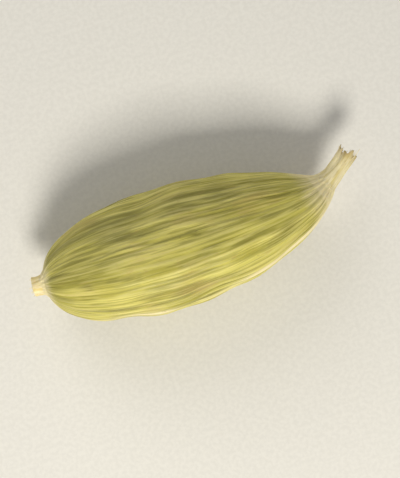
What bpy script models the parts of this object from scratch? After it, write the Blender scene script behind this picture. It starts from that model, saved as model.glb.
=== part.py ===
"""A dried green cardamom pod, lying on its flattest side.

The pod grew as one piece, so it is one solid: a three-sided ribbed husk that draws in at one end to the
withered tube of the flower and at the other to the stub of its stalk. The solid is a sphere whose rings
are laid along the pod and whose meridians follow the ribs. +X runs from the stalk to the flower tube,
+Z is up, and the origin is the middle of the husk's length on the flat spot that the pod rests on.
"""

import math
import random

import bmesh
import bpy
from mathutils import Vector

MM = 0.001
NAME = "cardamom_pod"

# Husk. Its girth at a share s of the length goes as s to STALK_POWER times (1 - s) to FLOWER_POWER
HUSK_LENGTH = 17.4 * MM
HUSK_WIDTH = 7.2 * MM
STALK_POWER = 0.45
FLOWER_POWER = 0.62
BOW = 0.35 * MM  # sideways bow of the husk's middle
HOOK = 0.5 * MM  # how far the flower end hooks the other way
HOOK_POWER = 16
FLAT_DEPTH = 0.13 * MM  # what the flat spot takes off the underside

# Three corners of the section, as angles about +X from +Y, and how far each stands out
CORNER_ANGLES = (math.radians(109), math.radians(216), math.radians(331))
CORNER_RISES = (0.27, 0.23, 0.25)
CORNER_SHARPNESS = 4.2
FACE_GROOVE = 0.03
GROOVE_SHARPNESS = 30
TWIST = math.radians(6)  # turn of the section from stalk to flower end

# Ribs
RIBS_PER_FACE = (7, 7, 8)
RIB_HEIGHT = 0.12 * MM
CORNER_RIB_HEIGHT = 0.17 * MM
RIB_REACH = 0.45  # half width of a rib, as a share of the step between ribs
RIB_JITTER = 0.15  # uneven spacing, as a share of that step
RIB_WANDER = 0.12  # sway along the pod, as a share of that step
RANDOM_SEED = 7

# Swellings over the seeds, and dents as (share of length, angle, depth)
SEED_BUMPS = 5.5
SEED_BUMP_HEIGHT = 0.06 * MM
DENTS = (
    (0.37, math.radians(20), 0.26 * MM),
    (0.64, math.radians(68), 0.22 * MM),
    (0.55, math.radians(160), 0.24 * MM),
    (0.24, math.radians(185), 0.16 * MM),
)
DENT_SHARE = 0.075  # half length of a dent, as a share of the husk's length
DENT_SHARPNESS = 9

# Flower tube, which goes on round the hook
TUBE_LENGTH = 2.35 * MM
TUBE_RADIUS = 0.42 * MM
TUBE_NECK = 0.36 * MM  # how much thicker it leaves the husk
TUBE_NECK_FADE = 0.7 * MM
TUBE_TURN = math.radians(14)
TUBE_DROOP = 0.3 * MM
TUBE_FLARE = 0.09 * MM
TUBE_FLUTES = 5
TUBE_FLUTE_DEPTH = 0.055 * MM
TUBE_RAGGEDNESS = 0.22 * MM
TUBE_HOLLOW_DEPTH = 0.6 * MM

# Stalk stub
STUB_LENGTH = 0.8 * MM
STUB_RADIUS = 0.5 * MM
STUB_NECK = 0.25 * MM
STUB_FLARE = 0.06 * MM
STUB_FLUTES = 4
STUB_FLUTE_DEPTH = 0.04 * MM
STUB_DISH = 0.12 * MM

# Mesh
SEGMENTS_PER_RIB = 5
HUSK_RINGS = 34
TUBE_RINGS = 9
STUB_RINGS = 5

HUSK_COLOUR = (0.44, 0.40, 0.12, 1.0)
HUSK_ROUGHNESS = 0.62

RIB_COUNT = sum(RIBS_PER_FACE)
SEGMENTS = RIB_COUNT * SEGMENTS_PER_RIB


def bump(angle, centre, sharpness):
    """A smooth rise from 0 to 1 about one direction of the section."""
    return math.exp(sharpness * (math.cos(angle - centre) - 1))


def twist_at(share):
    """Turn of the section at a share of the husk's length from the stalk end."""
    return TWIST * (share - 0.5)


def section(angle, share):
    """Radius of the unsized section in one direction: round, with three corners and grooved faces."""
    turn = twist_at(share)
    radius = 1.0
    for corner, rise in zip(CORNER_ANGLES, CORNER_RISES):
        radius += rise * bump(angle, corner + turn, CORNER_SHARPNESS)
    for first, second in zip(CORNER_ANGLES, CORNER_ANGLES[1:] + (CORNER_ANGLES[0] + math.tau,)):
        radius -= FACE_GROOVE * bump(angle, (first + second) / 2 + turn, GROOVE_SHARPNESS)
    return radius


def section_width():
    """Width across Y of the unsized section at the middle of the husk."""
    across = [section(math.radians(a), 0.5) * math.cos(math.radians(a)) for a in range(360)]
    return max(across) - min(across)


def girth(share):
    """Girth of the husk at a share of its length, 1 at its widest."""
    widest = STALK_POWER / (STALK_POWER + FLOWER_POWER)
    most = widest**STALK_POWER * (1 - widest) ** FLOWER_POWER
    return share**STALK_POWER * (1 - share) ** FLOWER_POWER / most


HUSK_RADIUS = HUSK_WIDTH / section_width()
AXIS_HEIGHT = HUSK_RADIUS * section(math.radians(270), 0.5) - FLAT_DEPTH


def lay_out_ribs(chance):
    """Each rib as (angle, height, sway size, sway phase, sways along the husk), corner ribs included."""
    ribs = []
    corners = CORNER_ANGLES + (CORNER_ANGLES[0] + math.tau,)
    for face, count in enumerate(RIBS_PER_FACE):
        step = (corners[face + 1] - corners[face]) / count
        for place in range(count):
            at_corner = place == 0
            jitter = 0 if at_corner else chance.uniform(-RIB_JITTER, RIB_JITTER)
            height = CORNER_RIB_HEIGHT if at_corner else RIB_HEIGHT * chance.uniform(0.6, 1.15)
            sway = step * RIB_WANDER * (0.4 if at_corner else 1) * chance.uniform(0.4, 1)
            angle = corners[face] + (place + jitter) * step
            ribs.append((angle, height, sway, chance.uniform(0, math.tau), chance.uniform(0.6, 1.5)))
    return ribs


def rib_angle(ribs, index, share):
    """Direction of one rib's crest at a share of the husk's length. Ribs past the last go on round."""
    angle, _, sway, phase, sways = ribs[index % RIB_COUNT]
    round_again = math.tau * (index // RIB_COUNT)
    return angle + round_again + twist_at(share) + sway * math.sin(math.tau * sways * share + phase)


def rib_profile(across):
    """Rise of a rib at a distance from its crest, given as a share of the step between ribs."""
    return (1 + math.cos(math.pi * min(1.0, across / RIB_REACH))) / 2


def rib_rise(ribs, segment):
    """Height of the ribs on one meridian, where the husk is widest."""
    place, within = divmod(segment, SEGMENTS_PER_RIB)
    phase = within / SEGMENTS_PER_RIB
    after = ribs[(place + 1) % RIB_COUNT]
    return ribs[place][1] * rib_profile(phase) + after[1] * rib_profile(1 - phase)


def seed_rise(angle, share, phases):
    """Soft swellings where the seeds in the three chambers press on the husk."""
    rise = 0.0
    for corner, phase in zip(CORNER_ANGLES, phases):
        wave = math.cos(math.tau * SEED_BUMPS * share + phase + 0.8 * math.sin(2 * (angle - corner)))
        rise += wave * bump(angle, corner, 2.5)
    return SEED_BUMP_HEIGHT * rise * math.sin(math.pi * share)


def dent_depth(angle, share):
    """Depth of the hollows that the husk dried into."""
    depth = 0.0
    for centre, direction, deepest in DENTS:
        along = math.exp(-(((share - centre) / DENT_SHARE) ** 2))
        depth += deepest * along * bump(angle, direction, DENT_SHARPNESS)
    return depth


def husk_axis(share):
    """(point, heading) of the husk's bowed and hooked middle line, heading as an angle seen from above."""
    x = HUSK_LENGTH * (share - 0.5)
    y = HOOK * share**HOOK_POWER - BOW * math.sin(math.pi * share)
    rise = HOOK_POWER * HOOK * share ** (HOOK_POWER - 1) - math.pi * BOW * math.cos(math.pi * share)
    return Vector((x, y, AXIS_HEIGHT)), math.atan(rise / HUSK_LENGTH)


def tube_axis(along):
    """(point, heading) at a distance along the flower tube, which curves on and droops a little."""
    start, heading = husk_axis(1)
    arc_radius = TUBE_LENGTH / TUBE_TURN
    turned = heading + TUBE_TURN * along / TUBE_LENGTH
    sag = TUBE_DROOP * (along / TUBE_LENGTH) ** 2
    forward = arc_radius * (math.sin(turned) - math.sin(heading))
    sideways = arc_radius * (math.cos(heading) - math.cos(turned))
    return start + Vector((forward, sideways, -sag)), turned


def stub_axis(along):
    """(point, heading) at a distance along the stalk stub, out from the husk."""
    start, heading = husk_axis(0)
    return start - along * Vector((math.cos(heading), math.sin(heading), 0)), heading


def offset(heading, angle, radius):
    """The section point at that angle and radius, square to the heading."""
    side = radius * math.cos(angle)
    return Vector((-side * math.sin(heading), side * math.cos(heading), radius * math.sin(angle)))


def husk_point(ribs, phases, segment, share):
    """A point of the husk's skin, which draws in to the stub and the tube at its ends."""
    place, within = divmod(segment, SEGMENTS_PER_RIB)
    lead, follow = rib_angle(ribs, place, share), rib_angle(ribs, place + 1, share)
    angle = lead + (follow - lead) * within / SEGMENTS_PER_RIB
    fullness = girth(share)
    skin = HUSK_RADIUS * fullness * section(angle, share) + rib_rise(ribs, segment) * math.sqrt(fullness)
    skin += seed_rise(angle, share, phases) - dent_depth(angle, share)
    neck = STUB_RADIUS + STUB_NECK if share < 0.5 else TUBE_RADIUS + TUBE_NECK
    point, heading = husk_axis(share)
    return point + offset(heading, angle, math.hypot(skin, neck))


def tube_radius(along):
    """Radius of the flower tube, which leaves the husk thick, thins, and opens a little at its rim."""
    share = along / TUBE_LENGTH
    return TUBE_RADIUS + TUBE_NECK * math.exp(-along / TUBE_NECK_FADE) + TUBE_FLARE * share**4


def tube_point(ribs, segment, along, radius, rag):
    """A point of the flower tube. rag is how much of the torn rim's unevenness it takes."""
    angle = rib_angle(ribs, 0, 1) + math.tau * segment / SEGMENTS
    torn = TUBE_RAGGEDNESS * (0.6 * math.sin(3 * angle + 1.1) + 0.4 * math.sin(7 * angle + 0.4))
    point, heading = tube_axis(along + rag * torn)
    flutes = TUBE_FLUTE_DEPTH * along / TUBE_LENGTH * math.sin(TUBE_FLUTES * angle) * radius / TUBE_RADIUS
    return point + offset(heading, angle, radius + flutes)


def stub_point(ribs, segment, along, radius):
    """A point of the stalk stub."""
    angle = rib_angle(ribs, 0, 0) + math.tau * segment / SEGMENTS
    point, heading = stub_axis(along)
    flutes = STUB_FLUTE_DEPTH * along / STUB_LENGTH * math.sin(STUB_FLUTES * angle + 0.7)
    return point + offset(heading, angle, radius + flutes)


def stub_ring(ribs, step):
    """One ring of the stub, as segment to point. Step 0 is on its dished cut face."""
    if step == 0:
        return lambda segment: stub_point(ribs, segment, STUB_LENGTH - STUB_DISH, 0.55 * STUB_RADIUS)
    share = 1 - (step - 1) / (STUB_RINGS - 1)
    radius = STUB_RADIUS + STUB_FLARE * share**2 + STUB_NECK * (1 - share) ** 2
    return lambda segment: stub_point(ribs, segment, STUB_LENGTH * share, radius)


def tube_ring(ribs, step):
    """One ring of the tube, as segment to point. The last two run back into its open end."""
    outer = TUBE_RINGS - 2
    if step < outer:
        share = (step + 1) / outer
        along = TUBE_LENGTH * share
        return lambda segment: tube_point(ribs, segment, along, tube_radius(along), share**3)
    inward = (step - outer + 1) / 2
    along = TUBE_LENGTH - TUBE_HOLLOW_DEPTH * inward**2
    radius = TUBE_RADIUS * (0.85 - 0.35 * inward)
    return lambda segment: tube_point(ribs, segment, along, radius, 1 - inward)


def rings(ribs, phases):
    """Every ring of the pod from the stub's cut face to the inside of the tube, as segment to point."""
    laid = [stub_ring(ribs, step) for step in range(STUB_RINGS)]
    for step in range(HUSK_RINGS):
        share = (1 - math.cos(math.pi * (step + 0.35) / (HUSK_RINGS - 0.3))) / 2
        laid.append(lambda segment, share=share: husk_point(ribs, phases, segment, share))
    return laid + [tube_ring(ribs, step) for step in range(TUBE_RINGS)]


def pod_mesh():
    """The pod's skin: a sphere with each vertex moved to its ring and meridian of the pod."""
    chance = random.Random(RANDOM_SEED)
    ribs = lay_out_ribs(chance)
    laid = rings(ribs, [chance.uniform(0, math.tau) for _ in CORNER_ANGLES])
    skin = bmesh.new()
    bmesh.ops.create_uvsphere(skin, u_segments=SEGMENTS, v_segments=len(laid) + 1, radius=1)
    for vertex in skin.verts:
        below_pole = math.acos(max(-1.0, min(1.0, -vertex.co.z)))
        ring = round(below_pole / math.pi * (len(laid) + 1)) - 1
        if ring < 0:
            vertex.co = stub_axis(STUB_LENGTH - STUB_DISH)[0]
        elif ring == len(laid):
            vertex.co = tube_axis(TUBE_LENGTH - TUBE_HOLLOW_DEPTH)[0]
        else:
            meridian = round(math.atan2(vertex.co.y, vertex.co.x) / math.tau * SEGMENTS) % SEGMENTS
            vertex.co = laid[ring](meridian)
        vertex.co.z = max(vertex.co.z, 0.0)
    bmesh.ops.recalc_face_normals(skin, faces=skin.faces)
    mesh = bpy.data.meshes.new(NAME)
    skin.to_mesh(mesh)
    skin.free()
    mesh.shade_smooth()
    return mesh


def husk_material():
    """Dull yellow green, as dried husk."""
    material = bpy.data.materials.new("dried_husk")
    material.use_nodes = True
    shader = material.node_tree.nodes["Principled BSDF"]
    shader.inputs["Base Color"].default_value = HUSK_COLOUR
    shader.inputs["Roughness"].default_value = HUSK_ROUGHNESS
    shader.inputs["Metallic"].default_value = 0.0
    return material


def main():
    for obj in list(bpy.data.objects):
        bpy.data.objects.remove(obj)
    collection = bpy.data.collections.new("green_cardamom_pod")
    bpy.context.scene.collection.children.link(collection)
    pod = bpy.data.objects.new(NAME, pod_mesh())
    pod.data.materials.append(husk_material())
    collection.objects.link(pod)


main()
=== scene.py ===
"""The looks of a dried green cardamom pod, lying on a pale floor.

The husk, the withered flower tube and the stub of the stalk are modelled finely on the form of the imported
solid, which they stand for. Loose fibres are added where the tube and the stalk are torn.
"""

import logging
import math
import random
from abc import ABC, abstractmethod
from collections.abc import Callable
from dataclasses import dataclass
from enum import Enum
from typing import Any, Protocol

import bpy
import numpy as np
from mathutils import Matrix, Vector


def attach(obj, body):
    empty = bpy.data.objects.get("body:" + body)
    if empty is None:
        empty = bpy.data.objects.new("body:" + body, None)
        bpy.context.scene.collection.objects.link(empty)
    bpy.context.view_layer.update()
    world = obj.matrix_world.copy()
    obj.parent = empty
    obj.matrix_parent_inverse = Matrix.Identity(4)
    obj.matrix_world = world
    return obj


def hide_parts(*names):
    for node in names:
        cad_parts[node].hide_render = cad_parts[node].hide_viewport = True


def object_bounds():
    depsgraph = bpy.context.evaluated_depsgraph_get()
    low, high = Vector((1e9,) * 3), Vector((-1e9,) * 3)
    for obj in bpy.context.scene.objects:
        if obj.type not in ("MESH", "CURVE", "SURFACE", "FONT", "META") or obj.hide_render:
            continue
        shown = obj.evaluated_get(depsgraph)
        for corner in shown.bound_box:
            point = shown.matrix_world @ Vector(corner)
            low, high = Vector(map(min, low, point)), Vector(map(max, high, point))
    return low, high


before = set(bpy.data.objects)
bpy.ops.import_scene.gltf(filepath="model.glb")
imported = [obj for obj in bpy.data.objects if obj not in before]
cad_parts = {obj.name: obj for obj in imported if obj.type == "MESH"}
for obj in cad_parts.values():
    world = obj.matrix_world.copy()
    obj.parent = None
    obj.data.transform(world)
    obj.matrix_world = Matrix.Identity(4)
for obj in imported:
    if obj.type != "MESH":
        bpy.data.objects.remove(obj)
cad_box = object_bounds()

LOG = logging.getLogger("cardamom_pod")
MM = 0.001
NODE = "cardamom_pod"
BODY = "root"

Array = np.ndarray
Colour = tuple[float, float, float, float]
Axis = Callable[[Array], tuple[Array, Array]]
Girth = Callable[[Array], Array]


class Skin(Enum):
    """What a piece stores at each vertex for its finish to read."""

    SHARE = "share"
    # Ribs and veins, which the finish makes paler, partly as a painted highlight.
    CREST = "crest"
    # Pale where bleached; along the lit edge it is also a painted highlight.
    BLEACH = "bleach"
    STAIN = "stain"
    # Painted shade for the grooves between the ribs.
    GROOVE = "groove"
    STREAK = "streak"
    FIBRE = "fibre"


Rings = tuple[Array, dict[Skin, Array]]


class End(Enum):
    """The two ends of the husk, as shares of its length."""

    STALK = 0.0
    FLOWER = 1.0

    @property
    def outward(self) -> int:
        """The sense in which what grows there leaves the husk."""
        return 1 if self is End.FLOWER else -1


def linear(red: int, green: int, blue: int) -> Colour:
    """A display colour, from 0 to 255 a channel, as the linear colour that a shader takes."""
    shares = [channel / 255 for channel in (red, green, blue)]
    return (*(s / 12.92 if s <= 0.04045 else ((s + 0.055) / 1.055) ** 2.4 for s in shares), 1.0)


def eased(value: Array) -> Array:
    """Values from 0 to 1 with a gentle start and end."""
    return value * value * (3 - 2 * value)


def ramp(value: Array, low: float, high: float) -> Array:
    """0 at low, 1 at high and eased between them."""
    return eased(np.clip((value - low) / (high - low), 0.0, 1.0))


def bump(angle: Array, centre: Array | float, sharpness: float) -> Array:
    """A smooth rise from 0 to 1 about one direction of the section."""
    return np.exp(sharpness * (np.cos(angle - centre) - 1))


def hill(value: Array, centre: Array | float, reach: float) -> Array:
    """A smooth rise from 0 to 1 about one value."""
    return np.exp(-(((value - centre) / reach) ** 2))


def around(centre: Array, heading: Array, angle: Array, radius: Array) -> Array:
    """Points round a centre line, square to its heading.

    Args:
        centre: Points of the centre line, with three coordinates each.
        heading: Heading of the line at each, as an angle seen from above.
        angle: Direction of each point about the line, from the side towards the top.
        radius: Distance of each point from the line.

    Returns:
        One point for each angle and radius.
    """
    side = radius * np.cos(angle)
    up = radius * np.sin(angle)
    return centre + np.stack([-side * np.sin(heading), side * np.cos(heading), up], axis=-1)


def fibre_places(angle: Array, along: Array, radius: float) -> Array:
    """Coordinates in millimetres that follow the fibres, as if they lay along a rod of that radius."""
    return np.stack([radius * np.cos(angle), radius * np.sin(angle), along / MM + 0 * angle], axis=-1)


@dataclass(frozen=True)
class SkinNoise:
    """Smooth random values over the skin, which wrap round the pod."""

    cells_around: int
    cells_along: int
    seed: int

    def at(self, turn: Array, share: Array) -> Array:
        """Values from -1 to 1.

        Args:
            turn: Turns round the pod, from 0 to 1.
            share: Shares of its length, from 0 to 1.

        Returns:
            One value for each place.
        """
        cells = (self.cells_along + 2, self.cells_around)
        grid = np.random.default_rng(self.seed).uniform(-1.0, 1.0, cells)
        column, row = (turn % 1.0) * self.cells_around, np.clip(share, 0.0, 1.0) * self.cells_along
        left, low = np.floor(column).astype(int), np.floor(row).astype(int)
        across, up = eased(column - left), eased(row - low)
        left, right = left % self.cells_around, (left + 1) % self.cells_around
        below = grid[low, left] * (1 - across) + grid[low, right] * across
        above = grid[low + 1, left] * (1 - across) + grid[low + 1, right] * across
        return below * (1 - up) + above * up


@dataclass(frozen=True)
class Fade:
    """How something grows along the husk, from nothing at one share of its length to its full amount."""

    start: float
    full: float
    amount: float = 1.0

    def at(self, share: Array) -> Array:
        """How much of it there is at a share of the husk's length."""
        return self.amount * ramp(share, self.start, self.full)


@dataclass(frozen=True)
class Wave:
    """A sine wave along the husk, or round a rim."""

    height: float
    pace: float
    phase: float = 0.0

    def at(self, value: Array) -> Array:
        """Its height at a share or a direction."""
        return self.height * np.sin(self.pace * value + self.phase)


@dataclass(frozen=True)
class Spot:
    """A patch of the skin that fades out all round, longer than it is wide."""

    share: float
    angle: float
    reach: float
    sharpness: float

    def at(self, angle: Array, share: Array) -> Array:
        """How much of it there is at a place, from 0 to 1."""
        return hill(share, self.share, self.reach) * bump(angle, self.angle, self.sharpness)


@dataclass(frozen=True)
class Rib:
    """One rib of the husk: its direction, its height and how it sways along the husk."""

    angle: float
    height: float
    sway: Wave


@dataclass(frozen=True)
class Limb:
    """What grows from an end of the husk: its middle line, its radius and its length."""

    axis: Axis
    girth: Girth
    length: float


@dataclass(frozen=True)
class PodForm:
    """The pod's form, on the driving dimensions of its solid, in metres and radians."""

    husk_length: float = 17.4 * MM
    husk_width: float = 7.2 * MM
    stalk_power: float = 0.45
    flower_power: float = 0.62
    bow: float = 0.35 * MM
    hook: float = 0.5 * MM
    hook_power: float = 16
    flat_depth: float = 0.13 * MM
    corners: tuple[float, ...] = tuple(math.radians(a) for a in (109, 216, 331))
    corner_rises: tuple[float, ...] = (0.27, 0.23, 0.25)
    corner_sharpness: float = 4.2
    face_groove: float = 0.03
    groove_sharpness: float = 30
    twist: float = math.radians(6)
    ribs_per_face: tuple[int, ...] = (7, 7, 8)
    rib_height: float = 0.08 * MM
    rib_heights: tuple[float, float] = (0.6, 1.15)
    corner_rib_height: float = 0.15 * MM
    rib_reach: float = 0.45
    rib_jitter: float = 0.15
    rib_wander: float = 0.12
    rib_wanders: tuple[float, float] = (0.4, 1)
    corner_wander: float = 0.4
    sways: tuple[float, float] = (0.6, 1.5)
    seed: int = 7
    seed_bumps: float = 5.5
    seed_bump_height: float = 0.06 * MM
    seed_bump_slant: float = 0.8
    seed_row_sharpness: float = 2.5
    dents: tuple[tuple[float, Spot], ...] = (
        (0.26 * MM, Spot(0.37, math.radians(20), 0.075, 9)),
        (0.22 * MM, Spot(0.64, math.radians(68), 0.075, 9)),
        (0.24 * MM, Spot(0.55, math.radians(160), 0.075, 9)),
        (0.16 * MM, Spot(0.24, math.radians(185), 0.075, 9)),
    )
    tube_length: float = 2.35 * MM
    tube_radius: float = 0.42 * MM
    tube_neck: float = 0.36 * MM
    tube_neck_fade: float = 0.7 * MM
    tube_turn: float = math.radians(14)
    tube_droop: float = 0.3 * MM
    tube_flare: float = 0.09 * MM
    tube_flutes: int = 5
    tube_flute_depth: float = 0.055 * MM
    tube_raggedness: float = 0.22 * MM
    rim_waves: tuple[Wave, ...] = (Wave(0.6, 3, 1.1), Wave(0.4, 7, 0.4))
    stub_length: float = 0.8 * MM
    stub_radius: float = 0.5 * MM
    stub_neck: float = 0.25 * MM
    stub_flare: float = 0.06 * MM
    stub_flutes: int = 4
    stub_flute_depth: float = 0.04 * MM
    stub_dish: float = 0.12 * MM

    @property
    def rib_count(self) -> int:
        """How many ribs there are, corner ribs included."""
        return sum(self.ribs_per_face)

    @property
    def faces(self) -> list[tuple[float, float]]:
        """The two corners beside each face, going round."""
        return list(zip(self.corners, (*self.corners[1:], self.corners[0] + math.tau)))

    @property
    def radius(self) -> float:
        """What a section of 1 comes to at the widest girth.

        Returns:
            The radius in metres.
        """
        angle = np.radians(np.arange(360.0))
        across = self.section(angle, np.full(360, 0.5)) * np.cos(angle)
        return self.husk_width / float(across.max() - across.min())

    @property
    def axis_height(self) -> float:
        """Height of the husk's middle line over the flat spot."""
        below = self.section(np.array([math.radians(270)]), np.array([0.5]))
        return self.radius * float(below[0]) - self.flat_depth

    def turn(self, share: Array) -> Array:
        """Turn of the section at a share of the husk's length from the stalk."""
        return self.twist * (share - 0.5)

    def section(self, angle: Array, share: Array) -> Array:
        """Radius of the unsized section: round, with three corners and grooved faces.

        Args:
            angle: Directions of the section.
            share: Shares of the husk's length.

        Returns:
            A radius of about 1 for each of them.
        """
        turn = self.turn(share)
        corners = zip(self.corners, self.corner_rises)
        raised = sum(rise * bump(angle, corner + turn, self.corner_sharpness) for corner, rise in corners)
        grooves = sum(bump(angle, (a + b) / 2 + turn, self.groove_sharpness) for a, b in self.faces)
        return 1 + raised - self.face_groove * grooves

    def girth(self, share: Array) -> Array:
        """Girth of the husk, which is fullest nearer its stalk.

        Args:
            share: Shares of its length.

        Returns:
            The girth at each, 1 at its widest.
        """
        widest = self.stalk_power / (self.stalk_power + self.flower_power)
        most = widest**self.stalk_power * (1 - widest) ** self.flower_power
        return share**self.stalk_power * (1 - share) ** self.flower_power / most

    def lay_out(self) -> tuple[list[Rib], list[float]]:
        """Draws the ribs and the rows of seeds by chance, as the solid does.

        Returns:
            The ribs in the order in which they go round, and where each corner's row of seeds begins.
        """
        chance = random.Random(self.seed)
        ribs = []
        for (first, second), count in zip(self.faces, self.ribs_per_face):
            step = (second - first) / count
            for place in range(count):
                at_corner = place == 0
                jitter = 0 if at_corner else chance.uniform(-self.rib_jitter, self.rib_jitter)
                fullness = 1 if at_corner else chance.uniform(*self.rib_heights)
                height = fullness * (self.corner_rib_height if at_corner else self.rib_height)
                wander = self.rib_wander * (self.corner_wander if at_corner else 1)
                sway = step * wander * chance.uniform(*self.rib_wanders)
                phase, sways = chance.uniform(0, math.tau), chance.uniform(*self.sways)
                angle = first + (place + jitter) * step
                ribs.append(Rib(angle, height, Wave(sway, math.tau * sways, phase)))
        return ribs, [chance.uniform(0, math.tau) for _ in self.corners]

    def rib_profile(self, across: Array) -> Array:
        """Rise of a rib from 0 to 1, at a distance from its crest in steps between ribs."""
        return (1 + np.cos(np.pi * np.minimum(1.0, across / self.rib_reach))) / 2

    def seed_rise(self, angle: Array, share: Array) -> Array:
        """Soft swellings where the seeds in the three chambers press on the husk.

        Args:
            angle: Directions of the section.
            share: Shares of the husk's length.

        Returns:
            The height of the swellings at each place.
        """
        rise, (_, phases) = 0.0, self.lay_out()
        for corner, phase in zip(self.corners, phases):
            slant = self.seed_bump_slant * np.sin(2 * (angle - corner))
            wave = np.cos(math.tau * self.seed_bumps * share + phase + slant)
            rise = rise + wave * bump(angle, corner, self.seed_row_sharpness)
        return self.seed_bump_height * rise * np.sin(np.pi * share)

    def dent_depth(self, angle: Array, share: Array) -> Array:
        """Depth of the hollows that the husk dried into."""
        return sum(depth * spot.at(angle, share) for depth, spot in self.dents)

    def husk_axis(self, share: Array) -> tuple[Array, Array]:
        """The husk's bowed and hooked middle line.

        Args:
            share: Shares of the husk's length.

        Returns:
            Its points and its headings there.
        """
        x = self.husk_length * (share - 0.5)
        y = self.hook * share**self.hook_power - self.bow * np.sin(np.pi * share)
        rise = self.hook_power * self.hook * share ** (self.hook_power - 1)
        rise = rise - np.pi * self.bow * np.cos(np.pi * share)
        points = np.stack([x, y, np.full_like(x, self.axis_height)], axis=-1)
        return points, np.arctan(rise / self.husk_length)

    def tube_axis(self, along: Array) -> tuple[Array, Array]:
        """The flower tube's middle line, which curves on and droops a little.

        Args:
            along: Distances along it from the husk.

        Returns:
            Its points and its headings there.
        """
        start, heading = self.husk_axis(np.ones_like(along))
        arc_radius = self.tube_length / self.tube_turn
        turned = heading + self.tube_turn * along / self.tube_length
        sag = self.tube_droop * (along / self.tube_length) ** 2
        forward = arc_radius * (np.sin(turned) - np.sin(heading))
        sideways = arc_radius * (np.cos(heading) - np.cos(turned))
        return start + np.stack([forward, sideways, -sag], axis=-1), turned

    def stub_axis(self, along: Array) -> tuple[Array, Array]:
        """The stalk stub's straight middle line.

        Args:
            along: Distances along it from the husk.

        Returns:
            Its points there, and the heading of the husk's line where they leave it.
        """
        start, heading = self.husk_axis(np.zeros_like(along))
        away = np.stack([np.cos(heading), np.sin(heading), np.zeros_like(along)], axis=-1)
        return start - along[..., None] * away, heading

    def tube_girth(self, along: Array) -> Array:
        """Radius of the flower tube, which leaves the husk thick, thins, and opens a little at its rim."""
        neck = self.tube_neck * np.exp(-along / self.tube_neck_fade)
        return self.tube_radius + neck + self.tube_flare * (along / self.tube_length) ** 4

    def stub_girth(self, along: Array) -> Array:
        """Radius of the stalk stub, which leaves the husk thick and opens a little at its cut."""
        share = along / self.stub_length
        return self.stub_radius + self.stub_flare * share**2 + self.stub_neck * (1 - share) ** 2

    def torn_rim(self, angle: Array) -> Array:
        """How far the torn rim of the flower tube stands out at each direction."""
        return self.tube_raggedness * sum(wave.at(angle) for wave in self.rim_waves)

    def limb(self, end: End) -> Limb:
        """What grows from an end.

        Args:
            end: The end of the husk.

        Returns:
            The stalk stub or the flower tube.
        """
        if end is End.STALK:
            return Limb(self.stub_axis, self.stub_girth, self.stub_length)
        return Limb(self.tube_axis, self.tube_girth, self.tube_length)


def deselect() -> None:
    """Leaves object mode's selection empty."""
    bpy.ops.object.select_all(action="DESELECT")


def named(name: str) -> bpy.types.Object:
    """Names the active object and its mesh.

    Args:
        name: The piece's name.

    Returns:
        The active object.
    """
    piece = bpy.context.view_layer.objects.active
    piece.name = piece.data.name = name
    return piece


def places_of(piece: bpy.types.Object) -> Array:
    """Reads every vertex of a piece.

    Args:
        piece: The piece.

    Returns:
        Rows of three coordinates.
    """
    places = np.empty(len(piece.data.vertices) * 3)
    piece.data.vertices.foreach_get("co", places)
    return places.reshape(-1, 3)


def move_to(piece: bpy.types.Object, places: Array) -> None:
    """Puts every vertex of a piece at its new place."""
    piece.data.vertices.foreach_set("co", places.ravel())
    piece.data.update()


def store(piece: bpy.types.Object, skins: dict[Skin, Array]) -> None:
    """Stores numbers at the vertices of a piece.

    Args:
        piece: The piece.
        skins: For each kind of skin, a number or a row of three for every vertex.
    """
    for skin, values in skins.items():
        kind, channel = ("FLOAT_VECTOR", "vector") if values.ndim == 2 else ("FLOAT", "value")
        stored = piece.data.attributes.new(skin.value, kind, "POINT")
        stored.data.foreach_set(channel, values.ravel())


def apply_modifier(piece: bpy.types.Object, kind: str, settings: dict[str, Any]) -> None:
    """Adds a modifier to a piece, with its settings, and applies it.

    Args:
        piece: The piece, which becomes the active object.
        kind: The modifier's type.
        settings: Its properties by name.
    """
    bpy.context.view_layer.objects.active = piece
    modifier = piece.modifiers.new(kind.lower(), kind)
    for name, value in settings.items():
        setattr(modifier, name, value)
    bpy.ops.object.modifier_apply(modifier=modifier.name)


def draw_out(heights: Array, radii: Array) -> None:
    """Draws the selected loop out upwards.

    Args:
        heights: The heights that it reaches, from its own on.
        radii: Its radius at each of them.
    """
    for low, high, first, second in zip(heights, heights[1:], radii, radii[1:]):
        widen = second / first
        bpy.ops.mesh.extrude_region_move(TRANSFORM_OT_translate={"value": (0, 0, high - low)})
        bpy.ops.transform.resize(value=(widen, widen, 1), center_override=(0, 0, high))


class Signal:
    """A number that varies over a surface. Python's operators on it add maths nodes."""

    def __init__(self, graph: "Graph", socket: bpy.types.NodeSocket) -> None:
        """Wraps a socket of a graph."""
        self.graph = graph
        self.socket = socket

    def _with(self, operation: str, first: "Signal | float", second: "Signal | float") -> "Signal":
        """The result of one operation on two numbers."""
        node = self.graph.add("ShaderNodeMath", {"operation": operation}, {0: first, 1: second})
        return Signal(self.graph, node.outputs[0])

    def __add__(self, other: "Signal | float") -> "Signal":
        """Sum."""
        return self._with("ADD", self, other)

    __radd__ = __add__

    def __sub__(self, other: "Signal | float") -> "Signal":
        """Difference."""
        return self._with("SUBTRACT", self, other)

    def __rsub__(self, other: float) -> "Signal":
        """Difference from a plain number."""
        return self._with("SUBTRACT", other, self)

    def __mul__(self, other: "Signal | float") -> "Signal":
        """Product."""
        return self._with("MULTIPLY", self, other)

    __rmul__ = __mul__

    def step(self, low: float, high: float) -> "Signal":
        """Spreads a range of the number smoothly over 0 to 1.

        Args:
            low: What becomes 0.
            high: What becomes 1, which may be the lower of the two.

        Returns:
            The spread number.
        """
        inputs = {"Value": self, "From Min": low, "From Max": high}
        node = self.graph.add("ShaderNodeMapRange", {"interpolation_type": "SMOOTHSTEP"}, inputs)
        return Signal(self.graph, node.outputs["Result"])


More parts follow.
